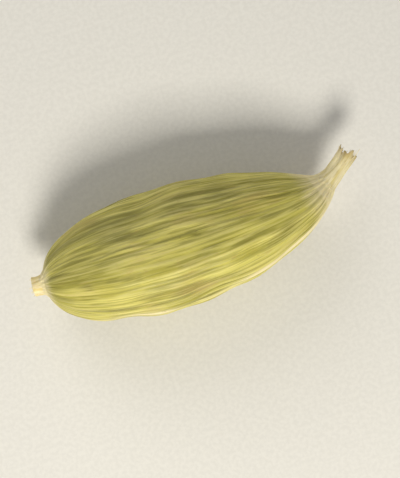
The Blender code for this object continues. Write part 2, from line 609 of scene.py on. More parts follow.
@dataclass(frozen=True)
class Pattern:
    """Soft noise that follows the fibres, squeezed lengthwise so that it runs long."""

    squeeze: float
    scale: float
    detail: float = 2.0
    warp: float = 0.0


class Graph:
    """A material's nodes, round its Principled shader."""

    def __init__(self, name: str) -> None:
        """Starts a material.

        Args:
            name: Its name.
        """
        self.material = bpy.data.materials.new(name)
        self.material.use_nodes = True
        self.shader = self.material.node_tree.nodes["Principled BSDF"]

    def add(self, kind: str, settings: dict[str, Any], inputs: dict[str | int, Any]) -> bpy.types.Node:
        """Adds a node.

        Args:
            kind: The node's type.
            settings: Its properties by name, set before its sockets.
            inputs: A value, a socket or a signal for each input, by name or by place.

        Returns:
            The new node.
        """
        node = self.material.node_tree.nodes.new(kind)
        for name, value in settings.items():
            setattr(node, name, value)
        for place, value in inputs.items():
            self.feed(node.inputs[place], value)
        return node

    def feed(self, socket: bpy.types.NodeSocket, value: Any) -> None:
        """Sets or links an input.

        Args:
            socket: The input.
            value: A plain value to set, or a socket or a signal to link.
        """
        source = value.socket if isinstance(value, Signal) else value
        if isinstance(source, bpy.types.NodeSocket):
            self.material.node_tree.links.new(source, socket)
        else:
            socket.default_value = source

    def stored(self, skin: Skin) -> Signal:
        """A number stored at the piece's vertices."""
        node = self.add("ShaderNodeAttribute", {"attribute_name": skin.value}, {})
        return Signal(self, node.outputs["Fac"])

    def fibres(self, squeeze: float) -> bpy.types.NodeSocket:
        """Coordinates in millimetres that follow the fibres.

        Args:
            squeeze: How much they are squeezed lengthwise, under 1 for patterns that run long.

        Returns:
            The coordinates.
        """
        stored = self.add("ShaderNodeAttribute", {"attribute_name": Skin.FIBRE.value}, {})
        inputs = {0: stored.outputs["Vector"], 1: (1.0, 1.0, squeeze)}
        return self.add("ShaderNodeVectorMath", {"operation": "MULTIPLY"}, inputs).outputs["Vector"]

    def object_place(self) -> bpy.types.NodeSocket:
        """Coordinates of the object, in metres."""
        return self.add("ShaderNodeTexCoord", {}, {}).outputs["Object"]

    def noise(
        self, place: bpy.types.NodeSocket, scale: float, detail: float = 2.0, warp: float = 0.0
    ) -> Signal:
        """Soft noise, about 0.5 on average.

        Args:
            place: Coordinates to read it at.
            scale: How many times it varies in a unit of them.
            detail: How many finer layers it has.
            warp: How much it is distorted.

        Returns:
            The noise.
        """
        inputs = {"Vector": place, "Scale": scale, "Detail": detail, "Distortion": warp}
        node = self.add("ShaderNodeTexNoise", {}, inputs)
        return Signal(self, node.outputs["Fac"])

    def along_fibres(self, pattern: Pattern) -> Signal:
        """Noise of that pattern."""
        return self.noise(self.fibres(pattern.squeeze), pattern.scale, pattern.detail, pattern.warp)

    def specks(self, place: bpy.types.NodeSocket, scale: float, size: float) -> Signal:
        """Round specks with soft edges, one at most in each cell of 1 / scale."""
        node = self.add("ShaderNodeTexVoronoi", {}, {"Vector": place, "Scale": scale})
        return 1 - Signal(self, node.outputs["Distance"]).step(size * 0.5, size)

    def mixed(self, share: Signal, first: Any, second: Any) -> bpy.types.NodeSocket:
        """A share of the second colour in the first."""
        node = self.add("ShaderNodeMix", {"data_type": "RGBA"}, {0: share, 6: first, 7: second})
        return node.outputs[2]

    def layered(self, colour: Any, layers: tuple[tuple[Signal, Colour], ...]) -> bpy.types.NodeSocket:
        """Lays colours over each other.

        Args:
            colour: The colour under them.
            layers: The share of each and the colour itself, the lowest first.

        Returns:
            The mixed colour.
        """
        for share, layer in layers:
            colour = self.mixed(share, colour, layer)
        return colour

    def bumped(self, height: Signal, strength: float, distance: float) -> bpy.types.NodeSocket:
        """A normal that follows a height from 0 to 1, which stands for a distance in metres."""
        inputs = {"Height": height, "Strength": strength, "Distance": distance}
        return self.add("ShaderNodeBump", {}, inputs).outputs["Normal"]

    def finish(
        self, colour: Any, roughness: Signal, normal: Any, constants: dict[str, Any]
    ) -> bpy.types.Material:
        """Feeds the shader and gives the material.

        Args:
            colour: What feeds its base colour.
            roughness: What feeds its roughness.
            normal: What feeds its normal.
            constants: Values of its other sockets, the same all over.

        Returns:
            The material.
        """
        self.feed(self.shader.inputs["Base Color"], colour)
        self.feed(self.shader.inputs["Roughness"], roughness)
        self.feed(self.shader.inputs["Normal"], normal)
        for name, value in constants.items():
            self.feed(self.shader.inputs[name], value)
        return self.material


class Finish(Protocol):
    """Anything that builds a material."""

    def material(self) -> bpy.types.Material:
        """Builds the material."""


@dataclass(frozen=True)
class HuskFinish:
    """Dried husk: dull yellow green with brown marks and a straw coloured tip; paler on its ribs, partly as
    a painted highlight, with painted shade in the grooves between them, and a cream strip along the lit
    edge that is partly bleaching and partly a painted highlight.
    """

    green: Colour = linear(180, 171, 68)
    light_green: Colour = linear(217, 207, 98)
    olive: Colour = linear(134, 128, 44)
    straw: Colour = linear(223, 212, 132)
    cream: Colour = linear(236, 222, 172)
    tan: Colour = linear(174, 150, 82)
    brown: Colour = linear(100, 78, 40)
    patches: Pattern = Pattern(0.4, 0.55, 3.0, 0.6)
    bands: Pattern = Pattern(0.12, 2.2, 4.0, 0.3)
    hairs: Pattern = Pattern(0.035, 14.0, 3.0)
    lines: Pattern = Pattern(0.05, 6.0)
    pale: Pattern = Pattern(0.3, 0.8, 2.0, 0.5)
    bruises: Pattern = Pattern(0.5, 0.6, 4.0, 0.4)
    flecks: Pattern = Pattern(0.3, 4.0, 3.0, 0.5)
    grain: Pattern = Pattern(0.6, 22.0, 3.0, 0.4)
    speck_squeeze: float = 0.4
    specks_per_mm: float = 2.4
    speck_size: float = 0.1
    speck_cover: float = 500
    relief: float = 0.04 * MM

    def specked(self, graph: Graph) -> Signal:
        """Where the small brown specks are, from 0 to 1."""
        specks = graph.specks(graph.fibres(self.speck_squeeze), self.specks_per_mm, self.speck_size)
        return specks * graph.noise(graph.object_place(), self.speck_cover).step(0.46, 0.6)

    def material(self) -> bpy.types.Material:
        """Builds the material.

        Returns:
            The material.
        """
        graph = Graph("dried_husk")
        crest, bleach = graph.stored(Skin.CREST), graph.stored(Skin.BLEACH)
        groove, streak, stain = (graph.stored(skin) for skin in (Skin.GROOVE, Skin.STREAK, Skin.STAIN))
        bands, hairs, lines = (graph.along_fibres(p) for p in (self.bands, self.hairs, self.lines))
        patches, pale = graph.along_fibres(self.patches), graph.along_fibres(self.pale)
        bruises = (graph.along_fibres(self.bruises) + stain * 0.2 + lines * 0.25).step(0.62, 1.0)
        flecks = graph.along_fibres(self.flecks).step(0.6, 0.74)
        # Cream on the bleached ends, and on the strip along the lit edge, which is partly a painted
        # highlight.
        worn_and_highlight = bleach + (bands - 0.5) * 0.9 * bleach.step(0.02, 0.3)
        layers = (
            (patches.step(0.42, 0.57), self.green),
            ((bands * 0.6 + pale * 0.5).step(0.46, 0.66) * 0.85, self.light_green),
            (hairs.step(0.5, 0.7) * 0.3 + streak.step(0.1, 0.8) * 0.25, self.straw),
            # Straw on the crests of the ribs and veins: partly their paler fibres, partly a painted
            # highlight on what stands out.
            (crest * (pale + bands - 0.72) * 0.9 + lines.step(0.54, 0.6) * 0.35, self.straw),
            # Olive in the grooves between the ribs is painted shade; the olive lines across it are the
            # fibres' own colour.
            (groove * 0.4 + lines.step(0.46, 0.4) * 0.45, self.olive),
            (bruises * 0.6 + flecks * 0.35, self.tan),
            (worn_and_highlight.step(0.12, 0.8), self.cream),
            (self.specked(graph) * 0.6, self.brown),
        )
        height = hairs * 0.4 + lines * 0.5 + graph.along_fibres(self.grain) * 0.4
        constants = {
            "Specular IOR Level": 0.5,
            "Subsurface Weight": 0.12,
            "Subsurface Radius": (1.0, 0.8, 0.25),
            "Subsurface Scale": 0.5 * MM,
        }
        roughness, normal = 0.56 - crest * 0.1 + hairs * 0.12, graph.bumped(height, 0.75, self.relief)
        return graph.finish(graph.layered(self.olive, layers), roughness, normal, constants)


@dataclass(frozen=True)
class PaperFinish:
    """Withered flower tube, stalk and fibres: cream, papery, browner towards what is torn."""

    name: str
    torn_from: float = 0.7
    cream: Colour = linear(242, 226, 178)
    straw: Colour = linear(222, 202, 136)
    brown: Colour = linear(146, 116, 72)
    bands: Pattern = Pattern(0.15, 5.0, 3.0, 0.3)
    hairs: Pattern = Pattern(0.06, 24.0, 3.0)
    relief: float = 0.02 * MM

    def material(self) -> bpy.types.Material:
        """Builds the material.

        Returns:
            The material.
        """
        graph = Graph(self.name)
        share, streak = graph.stored(Skin.SHARE), graph.stored(Skin.STREAK)
        bands, hairs = graph.along_fibres(self.bands), graph.along_fibres(self.hairs)
        torn = share.step(self.torn_from, 1.1) * 0.55
        layers = (
            (bands.step(0.4, 0.65), self.straw),
            (torn + streak.step(0.3, 1.0) * 0.2 + hairs.step(0.5, 0.75) * 0.3, self.brown),
        )
        constants = {
            "Specular IOR Level": 0.35,
            "Subsurface Weight": 0.2,
            "Subsurface Radius": (1.0, 0.8, 0.5),
            "Subsurface Scale": 0.4 * MM,
        }
        colour, normal = graph.layered(self.cream, layers), graph.bumped(hairs, 0.4, self.relief)
        return graph.finish(colour, 0.72 + hairs * 0.15, normal, constants)


@dataclass(frozen=True)
class FloorFinish:
    """A pale, matt floor with a faint grain."""

    colour: Colour = linear(226, 223, 216)
    speckle: Colour = linear(220, 217, 210)
    grain_scale: float = 4000
    relief: float = 0.01 * MM

    def material(self) -> bpy.types.Material:
        """Builds the material.

        Returns:
            The material.
        """
        graph = Graph("pale_floor")
        grain = graph.noise(graph.object_place(), self.grain_scale)
        colour = graph.mixed(grain.step(0.3, 0.7), self.speckle, self.colour)
        normal = graph.bumped(grain, 0.05, self.relief)
        return graph.finish(colour, 0.75 + grain * 0.1, normal, {"Specular IOR Level": 0.2})


@dataclass(frozen=True)
class Assembly(ABC):
    """A piece of the pod on the pod's form, and the finish that it gets."""

    form: PodForm
    finish: Finish

    @abstractmethod
    def build(self) -> bpy.types.Object:
        """Models the piece."""

    def dress(self, piece: bpy.types.Object) -> None:
        """Gives the piece its finish, lets it ride on the pod's body and stand for its solid.

        Args:
            piece: The piece as it was built.
        """
        deselect()
        piece.data.materials.append(self.finish.material())
        piece.data.shade_smooth()
        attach(piece, BODY)
        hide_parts(NODE)


@dataclass(frozen=True)
class Vein:
    """A thin vein between each two ribs, which bends and is missing in places."""

    course: float
    reach: float
    bend: float
    bends: int
    gaps: int
    shown: tuple[float, float]
    seed: int

    def at(self, meridians: tuple[Array, Array], share: Array, ribs: int) -> Array:
        """How far it stands out, from 0 to 1.

        Args:
            meridians: The rib that each meridian follows, and how far it lies on the way to the next.
            share: Shares of the husk's length.
            ribs: How many ribs there are.

        Returns:
            One value for each share and meridian.
        """
        place, phase = meridians
        between = (place + 0.5) / ribs
        course = self.course + self.bend * SkinNoise(ribs, self.bends, self.seed).at(between, share)
        shown = ramp(SkinNoise(ribs, self.gaps, self.seed + 1).at(between, share), *self.shown)
        return shown * hill(phase, course, self.reach)


@dataclass(frozen=True)
class Neck:
    """How the husk runs out over the stalk or the flower tube, where its ribs end one by one."""

    end: End
    reach: float
    rings: int
    rib_height: float
    fillet: float
    sink: float
    gathering: Fade
    noise: SkinNoise
    unevenness: float = 0.4
    sunk_from: float = 0.1


@dataclass(frozen=True)
class Grain:
    """What the skin shows between the husk's ends, ring by ring and meridian by meridian."""

    share: Array
    angle: Array
    turn: Array
    crest: Array
    rib: Array
    vein: Array
    side_vein: Array
    streak: Array
    fibre: Array


@dataclass(frozen=True)
class Husk(Assembly):
    """The ribbed husk, with the veins, streaks and creases that its solid leaves out."""

    segments_per_rib: int = 17
    rings: int = 210
    ring_evenness: float = 0.4
    ring_inset: float = 0.35
    end_rings: int = 6
    end_depth: float = 0.12 * MM
    necks: tuple[Neck, Neck] = (
        Neck(
            end=End.STALK,
            reach=0.42 * MM,
            rings=10,
            rib_height=0.045 * MM,
            fillet=0.07 * MM,
            sink=0.07 * MM,
            gathering=Fade(0.08, 0),
            noise=SkinNoise(33, 1, 49),
        ),
        Neck(
            end=End.FLOWER,
            reach=0.9 * MM,
            rings=16,
            rib_height=0.055 * MM,
            fillet=0,
            sink=0.09 * MM,
            gathering=Fade(0.84, 1),
            noise=SkinNoise(39, 1, 47),
        ),
    )
    rib_unevenness: float = 0.25
    vein_height: float = 0.055 * MM
    vein: Vein = Vein(0.5, 0.1, 0.2, 7, 5, (-0.5, 0.1), 21)
    side_vein_height: float = 0.034 * MM
    side_veins: tuple[Vein, ...] = (
        Vein(0.25, 0.065, 0.12, 9, 6, (-0.4, 0.2), 23),
        Vein(0.75, 0.065, 0.12, 9, 6, (-0.4, 0.2), 25),
    )
    streak_height: float = 0.022 * MM
    streaks: SkinNoise = SkinNoise(96, 12, 41)
    fibre_height: float = 0.014 * MM
    fibres: SkinNoise = SkinNoise(187, 16, 42)
    end_fibres: SkinNoise = SkinNoise(187, 1, 48)
    fibre_radius: float = 4
    crease_height: float = 0.007 * MM
    creases: SkinNoise = SkinNoise(70, 90, 43)
    creased: SkinNoise = SkinNoise(18, 14, 44)
    creased_range: tuple[float, float] = (-0.2, 0.6)
    crest_tautness: float = 0.6
    swell_height: float = 0.075 * MM
    swells: SkinNoise = SkinNoise(9, 7, 45)
    relief_ends: tuple[Fade, Fade] = (Fade(0, 0.05), Fade(1, 0.95))
    underside_relief: float = 0.06 * MM
    furrow_angle: float = math.radians(77)
    furrow_depth: float = 0.13 * MM
    furrow_sharpness: float = 28
    furrow_ends: tuple[Fade, Fade] = (Fade(0.12, 0.3), Fade(0.95, 0.75))
    furrow_swell: Wave = Wave(0.3, 17)
    suture_depth: float = 0.05 * MM
    suture_sharpness: float = 700
    suture_ends: tuple[Fade, Fade] = (Fade(0.05, 0.16), Fade(0.98, 0.88))
    suture_wander: Wave = Wave(math.radians(1.2), 23)
    lip_height: float = 0.03 * MM
    lip_sharpness: float = 140
    keel_height: float = 0.06 * MM
    keel_sharpness: float = 40
    crest_levels: tuple[float, float, float] = (0.8, 0.8, 0.6)
    # How strongly painted shade darkens the grooves between the ribs.
    groove_shade_level: float = 0.6
    streak_share: float = 0.6
    stains: tuple[Spot, ...] = (
        Spot(0.77, math.radians(66), 0.09, 16),
        Spot(0.5, math.radians(141), 0.05, 30),
        Spot(0.33, math.radians(150), 0.04, 30),
        Spot(0.63, math.radians(300), 0.08, 14),
        Spot(0.2, math.radians(20), 0.06, 22),
    )
    # The pale strip along the edge that faces the key lamp: partly bleaching, partly a painted highlight.
    bleach_highlight_edge: float = math.radians(179)
    bleach_highlight_sharpness: float = 54
    bleach_highlight_wander: Wave = Wave(math.radians(2.5), 11, 1)
    bleach_highlight_lift: Fade = Fade(0.5, 0.78, math.radians(14))
    bleach_highlight_level: float = 0.9
    bleach_highlight_unevenness: float = 0.6
    bleach_highlight_breaks: SkinNoise = SkinNoise(26, 9, 50)
    bleach_highlight_growth: tuple[Fade, ...] = (Fade(0.04, 0.16, 0.5), Fade(0.6, 0.82, 0.5))
    bleached_ends: tuple[Fade, ...] = (Fade(0.86, 0.97, 0.5), Fade(0.96, 1), Fade(0.05, 0, 0.6))

    @property
    def segments(self) -> int:
        """How many meridians the husk has."""
        return self.form.rib_count * self.segments_per_rib

    def shares(self) -> Array:
        """Where the rings lie, as shares of the husk's length, closer together towards its ends."""
        even = (np.arange(self.rings) + self.ring_inset) / (self.rings - 1 + 2 * self.ring_inset)
        return self.ring_evenness * even + (1 - self.ring_evenness) * (1 - np.cos(np.pi * even)) / 2

    def meridians(self) -> tuple[Array, Array]:
        """The rib that each meridian follows, and how far it lies on the way to the next one."""
        steps = np.arange(self.segments) / self.segments_per_rib
        return np.floor(steps).astype(int), steps % 1.0

    def turns(self) -> Array:
        """How far round the husk each meridian lies, from 0 to 1."""
        return np.arange(self.segments) / self.segments

    def rib_noise(self, cells_along: int, seed: int) -> SkinNoise:
        """Noise with a value of its own for every rib."""
        return SkinNoise(self.form.rib_count, cells_along, seed)

    def directions(self, share: Array) -> Array:
        """Direction of every meridian, which sways with the ribs.

        Args:
            share: Shares of the husk's length, in a column.

        Returns:
            A row of directions for each share.
        """
        (place, phase), turn = self.meridians(), self.form.turn(share)
        crests = [rib.angle + turn + rib.sway.at(share) for rib in self.form.lay_out()[0]]
        crests = np.concatenate([*crests, crests[0] + math.tau], axis=1)
        return crests[:, place] * (1 - phase) + crests[:, place + 1] * phase

    def bleaching_and_highlight(self, angle: Array, share: Array) -> Array:
        """How pale the skin is: bleached at both ends, and along the edge that faces the key lamp, most
        near the flower, where it is partly bleached and partly a painted highlight.

        Args:
            angle: Directions of the section.
            share: Shares of the husk's length.

        Returns:
            A value from 0 to 1 for each place.
        """
        wander = self.bleach_highlight_wander.at(share) - self.bleach_highlight_lift.at(share)
        edge = bump(angle, self.bleach_highlight_edge + self.form.turn(share) + wander, self.bleach_highlight_sharpness)
        breaks = self.bleach_highlight_unevenness * self.bleach_highlight_breaks.at(angle / math.tau, share)
        edge = edge * (self.bleach_highlight_level + breaks)
        edge = edge * sum(fade.at(share) for fade in self.bleach_highlight_growth)
        return np.clip(edge + sum(fade.at(share) for fade in self.bleached_ends), 0, 1)

    def suture(self, angle: Array, share: Array) -> Array:
        """The fine seams down the middle of each face, where the husk would split.

        Args:
            angle: Directions of the section.
            share: Shares of the husk's length.

        Returns:
            The relief of their cuts and of the lips beside them.
        """
        relief, (start, end) = 0.0, self.suture_ends
        for low, high in self.form.faces:
            middle = (low + high) / 2 + self.form.turn(share) + self.suture_wander.at(share)
            relief = relief - self.suture_depth * bump(angle, middle, self.suture_sharpness)
            relief = relief + self.lip_height * bump(angle, middle, self.lip_sharpness)
        return relief * start.at(share) * end.at(share)

    def furrow(self, angle: Array, share: Array) -> Array:
        """The long furrow that runs beside the upper corner.

        Args:
            angle: Directions of the section.
            share: Shares of the husk's length.

        Returns:
            Its depth at each place.
        """
        start, end = self.furrow_ends
        depth = self.furrow_depth * start.at(share) * end.at(share) * (1 + self.furrow_swell.at(share))
        return depth * bump(angle, self.furrow_angle + self.form.turn(share), self.furrow_sharpness)

    def grain(self) -> Grain:
        """Works out the ribs, veins, streaks and fibres of the skin.

        Returns:
            Their values, a row for each ring.
        """
        form, share, turn = self.form, self.shares()[:, None], self.turns()
        meridians = self.meridians()
        place, phase = meridians
        before, after = form.rib_profile(phase), form.rib_profile(1 - phase)
        heights = np.array([rib.height for rib in form.lay_out()[0]])
        rib = heights[place] * before + heights[(place + 1) % form.rib_count] * after
        return Grain(
            share=share,
            angle=self.directions(share),
            turn=turn,
            crest=before + after + 0 * share,
            rib=rib * (1 + self.rib_unevenness * self.rib_noise(cells_along=9, seed=31).at(turn, share)),
            vein=self.vein.at(meridians, share, form.rib_count),
            side_vein=sum(vein.at(meridians, share, form.rib_count) for vein in self.side_veins),
            streak=self.streaks.at(turn, share),
            fibre=self.fibres.at(turn, share),
        )

    def relief(self, grain: Grain) -> Array:
        """All that is finer than the ribs.

        Args:
            grain: The skin's values.

        Returns:
            How far the skin rises over its ribs and the grooves between them.
        """
        share, angle, turn, (start, end) = grain.share, grain.angle, grain.turn, self.relief_ends
        creased = ramp(self.creased.at(turn, share), *self.creased_range)
        creased = creased * (1 - self.crest_tautness * grain.crest)
        turned = [corner + self.form.turn(share) for corner in self.form.corners]
        keels = sum(bump(angle, corner, self.keel_sharpness) for corner in turned)
        relief = self.vein_height * grain.vein + self.side_vein_height * grain.side_vein
        relief = relief + self.fibre_height * grain.fibre + self.streak_height * grain.streak
        relief = relief + self.crease_height * creased * self.creases.at(turn, share)
        relief = relief + self.swell_height * self.swells.at(turn, share)
        relief = relief + self.keel_height * keels * np.sqrt(np.sin(np.pi * share))
        relief = relief + self.suture(angle, share) - self.furrow(angle, share)
        return relief * start.at(share) * end.at(share)

    def radius(self, grain: Grain) -> Array:
        """The husk's girth, ribs and relief together.

        Args:
            grain: The skin's values.

        Returns:
            The radius about the husk's middle line.
        """
        form, share, angle = self.form, grain.share, grain.angle
        girth = form.girth(share)
        radius = form.radius * girth * form.section(angle, share) + grain.rib * np.sqrt(girth)
        radius = radius + form.seed_rise(angle, share) - form.dent_depth(angle, share) + self.relief(grain)
        limb_radius = np.where(share < 0.5, *(form.limb(end).girth(np.zeros(1)) for end in End))
        gathered = sum(neck.rib_height * neck.gathering.at(share) for neck in self.necks)
        return np.hypot(radius, limb_radius) + gathered * grain.crest

    def skin(self) -> Rings:
        """The skin between the husk's ends.

        Returns:
            Its points, ring by ring, and what is stored there.
        """
        grain = self.grain()
        share, angle, crest = grain.share, grain.angle, grain.crest
        centre, heading = self.form.husk_axis(share)
        points = around(centre, heading, angle, self.radius(grain))
        points[..., 2] = np.maximum(points[..., 2], self.underside_relief * (1 - crest))
        # Painted shade in the grooves between the ribs, stronger on some ribs than on others.
        groove = (1 - crest) * (1 + self.rib_noise(cells_along=12, seed=46).at(grain.turn, share))
        # Ribs and veins come out paler, partly their own colour and partly a painted highlight; the same
        # share makes them less rough.
        on_crest, on_vein, on_side_vein = self.crest_levels
        raised = on_crest * crest + on_vein * grain.vein + on_side_vein * grain.side_vein
        return points, {
            Skin.CREST: np.clip(raised, 0, 1),
            Skin.BLEACH: self.bleaching_and_highlight(angle, share),
            Skin.STAIN: np.maximum.reduce([stain.at(angle, share) for stain in self.stains]),
            Skin.GROOVE: np.clip(self.groove_shade_level * groove, 0, 1),
            Skin.STREAK: self.streak_share * grain.streak + (1 - self.streak_share) * grain.fibre,
            Skin.FIBRE: fibre_places(angle, self.form.husk_length * share, self.fibre_radius),
        }

    def run_out(self, neck: Neck) -> Rings:
        """Runs the skin out over the stalk or the flower tube.

        Args:
            neck: How and where it runs out.

        Returns:
            Its points, ring by ring from the husk outwards, and what is stored there.
        """
        form, limb, turn, (_, phase) = self.form, self.form.limb(neck.end), self.turns(), self.meridians()
        out = np.arange(1, neck.rings + 1)[:, None] / neck.rings
        along = neck.reach * out
        angle = self.directions(np.full((1, 1), neck.end.value)) + 0 * along
        spent = np.clip(out * (1 + neck.unevenness * neck.noise.at(turn, 0 * turn)), 0, 1)
        crest = form.rib_profile(phase) + form.rib_profile(1 - phase)
        rise = neck.rib_height * crest * (1 - spent) + neck.fillet * (1 - out) ** 3
        rise = rise - neck.sink * ramp(spent, neck.sunk_from, 1.0)
        centre, heading = limb.axis(along)
        along_pod = form.husk_length * neck.end.value + neck.end.outward * along
        return around(centre, heading, angle, limb.girth(along) + rise), {
            Skin.CREST: crest * (1 - out),
            Skin.BLEACH: 1 + 0 * angle,
            Skin.STAIN: 0 * angle,
            Skin.GROOVE: 0 * angle,
            Skin.STREAK: self.end_fibres.at(turn, 0 * turn) + 0 * along,
            Skin.FIBRE: fibre_places(angle, along_pod, self.fibre_radius),
        }

    def end_dome(self, neck: Neck) -> Array:
        """Closes an end of the husk inside the stalk or the flower tube.

        Args:
            neck: The neck that it closes.

        Returns:
            Its points, ring by ring, the pole last.
        """
        limb = self.form.limb(neck.end)
        rise = np.arange(1, self.end_rings + 2)[:, None] / (self.end_rings + 1) * np.pi / 2
        centre, heading = limb.axis(neck.reach + self.end_depth * np.sin(rise))
        angle = self.directions(np.full((1, 1), neck.end.value)) + 0 * rise
        radius = limb.girth(np.array([neck.reach])) - neck.sink
        return around(centre, heading, angle, radius * np.cos(rise) + 0 * angle)

    def build(self) -> bpy.types.Object:
        """Lays a sphere's rings along the husk, and its meridians along the ribs.

        Returns:
            The husk.
        """
        at_stalk, at_flower = self.necks
        (low, on_low), (high, on_high) = self.run_out(at_stalk), self.run_out(at_flower)
        middle, on_middle = self.skin()
        closed_low, closed_high = self.end_dome(at_stalk)[::-1], self.end_dome(at_flower)
        rings = np.concatenate([closed_low, low[::-1], middle, high, closed_high])
        steps = len(rings) - 1
        deselect()
        bpy.ops.mesh.primitive_uv_sphere_add(segments=self.segments, ring_count=steps, radius=1)
        husk = named("husk")
        sphere = places_of(husk)
        ring = np.rint(np.arccos(np.clip(-sphere[:, 2], -1, 1)) / np.pi * steps).astype(int)
        turn = np.arctan2(sphere[:, 1], sphere[:, 0]) / math.tau
        meridian = np.rint(turn * self.segments).astype(int) % self.segments
        move_to(husk, rings[ring, meridian])
        row = np.clip(ring - self.end_rings - 1, 0, len(low) + len(middle) + len(high) - 1)
        for skin, values in on_middle.items():
            joined = np.concatenate([on_low[skin][::-1], values, on_high[skin]])
            store(husk, {skin: joined[row, meridian]})
        return husk


@dataclass(frozen=True)
class FlowerTube(Assembly):
    """The withered tube of the flower: a thin, fluted and crumpled wall with a torn rim."""

    vertices: int = 48
    steps: int = 10
    sunk: float = 0.06 * MM
    wall: float = 0.05 * MM
    crumple: float = 0.07 * MM
    crumples: SkinNoise = SkinNoise(7, 4, 52)
    crumpling: Fade = Fade(0.1, 0.8)
    fibre_height: float = 0.016 * MM
    fibres: SkinNoise = SkinNoise(44, 3, 51)
    fibre_radius: float = 0.5
    tear: float = 0.24 * MM
    tears: SkinNoise = SkinNoise(29, 1, 53)
    rim_power: float = 3
    tear_power: float = 8

    def build(self) -> bpy.types.Object:
        """Draws a ring out into a straight tube, then creases, tears and curves it.

        Returns:
            The tube.
        """
        form = self.form
        stations = np.linspace(0, form.tube_length, self.steps + 1)
        girths = form.tube_girth(stations) - self.sunk * (1 - stations / form.tube_length) ** 4
        deselect()
        bpy.ops.mesh.primitive_circle_add(vertices=self.vertices, radius=girths[0], fill_type="NOTHING")
        tube = named("flower_tube")
        bpy.ops.object.mode_set(mode="EDIT")
        bpy.ops.mesh.select_all(action="SELECT")
        draw_out(stations, girths)
        bpy.ops.object.mode_set(mode="OBJECT")
        apply_modifier(tube, "SUBSURF", {"levels": 2, "render_levels": 2})
        self.weather(tube)
        wall = {"thickness": self.wall, "offset": -1, "use_quality_normals": True}
        apply_modifier(tube, "SOLIDIFY", wall)
        return tube

    def weather(self, tube: bpy.types.Object) -> None:
        """Creases the tube, tears its rim and lays it on its curve.

        Args:
            tube: The straight tube.
        """
        form, straight = self.form, places_of(tube)
        angle, along = np.arctan2(straight[:, 1], straight[:, 0]), straight[:, 2]
        turn, share = angle / math.tau % 1.0, np.clip(along / form.tube_length, 0, 1)
        fibre = self.fibres.at(turn, share)
        radius = np.hypot(straight[:, 0], straight[:, 1]) + self.fibre_height * fibre
        radius = radius + form.tube_flute_depth * share * np.sin(form.tube_flutes * angle)
        radius = radius + self.crumple * self.crumples.at(turn, share) * self.crumpling.at(share)
        torn = form.torn_rim(angle) * share**self.rim_power
        torn = torn + self.tear * self.tears.at(turn, 0 * turn) * share**self.tear_power
        centre, heading = form.tube_axis(along + torn)
        move_to(tube, around(centre, heading, angle, radius))
        places = fibre_places(angle, along, self.fibre_radius)
        store(tube, {Skin.SHARE: share, Skin.STREAK: fibre, Skin.FIBRE: places})


@dataclass(frozen=True)
class StalkStub(Assembly):
    """The stub of the stalk, with its rind standing round a dished cut."""

    vertices: int = 40
    steps: int = 6
    sunk: float = 0.05 * MM
    rind: float = 0.1 * MM
    flute_phase: float = 0.7
    fibre_height: float = 0.02 * MM
    fibres: SkinNoise = SkinNoise(32, 2, 61)
    fibre_radius: float = 0.5
    pore_depth: float = 0.03 * MM
    pores: SkinNoise = SkinNoise(26, 5, 62)
    pore_range: tuple[float, float] = (0.1, 0.7)
    cut: Fade = Fade(0.7, 0.85)
    side_paleness: float = 0.25

    def build(self) -> bpy.types.Object:
        """Draws a disc out into a straight stub, dishes its cut, then roughens and places it.

        Returns:
            The stub.
        """
        form = self.form
        stations = np.linspace(0, form.stub_length, self.steps + 1)
        girths = form.stub_girth(stations) - self.sunk * (1 - stations / form.stub_length) ** 4
        deselect()
        bpy.ops.mesh.primitive_circle_add(vertices=self.vertices, radius=girths[0], fill_type="NGON")
        stub = named("stalk_stub")
        bpy.ops.object.mode_set(mode="EDIT")
        bpy.ops.mesh.select_all(action="SELECT")
        draw_out(stations, girths)
        for sink in (0.0, form.stub_dish, 0.0, 0.0):
            bpy.ops.mesh.inset(thickness=self.rind, depth=-sink)
        bpy.ops.mesh.select_all(action="SELECT")
        bpy.ops.mesh.normals_make_consistent(inside=False)
        bpy.ops.object.mode_set(mode="OBJECT")
        apply_modifier(stub, "SUBSURF", {"levels": 2, "render_levels": 2})
        self.weather(stub)
        return stub

    def weather(self, stub: bpy.types.Object) -> None:
        """Roughens the stub and lays it against the husk.

        Args:
            stub: The straight stub.
        """
        form, straight = self.form, places_of(stub)
        angle, along = -np.arctan2(straight[:, 1], straight[:, 0]), straight[:, 2]
        radius = np.hypot(straight[:, 0], straight[:, 1])
        turn, share = angle / math.tau % 1.0, np.clip(along / form.stub_length, 0, 1)
        fibre, pores = self.fibres.at(turn, share), self.pores.at(turn, radius / form.stub_radius)
        side = np.clip(radius / form.stub_girth(along), 0, 1) ** 4
        flutes = form.stub_flute_depth * share * np.sin(form.stub_flutes * angle + self.flute_phase)
        radius = radius + (flutes + self.fibre_height * fibre) * side
        pitted = ramp(pores, *self.pore_range) * self.cut.at(share) * (1 - side)
        along = along - self.pore_depth * pitted
        centre, heading = form.stub_axis(along)
        move_to(stub, around(centre, heading, angle, radius))
        skins = {
            Skin.SHARE: share * (1 - self.side_paleness * side),
            Skin.STREAK: np.maximum(fibre * side, pores * (1 - side)),
            Skin.FIBRE: fibre_places(angle, along, self.fibre_radius),
        }
        store(stub, skins)


@dataclass(frozen=True)
class Root:
    """Where a loose fibre grows: its place, its direction, its length and its turn about itself."""

    place: Vector
    direction: Vector
    length: float
    spin: float


@dataclass(frozen=True)
class Tuft:
    """The loose fibres at an end of the pod: how many there are, and how long at least and at most."""

    end: End
    count: int
    lengths: tuple[float, float]


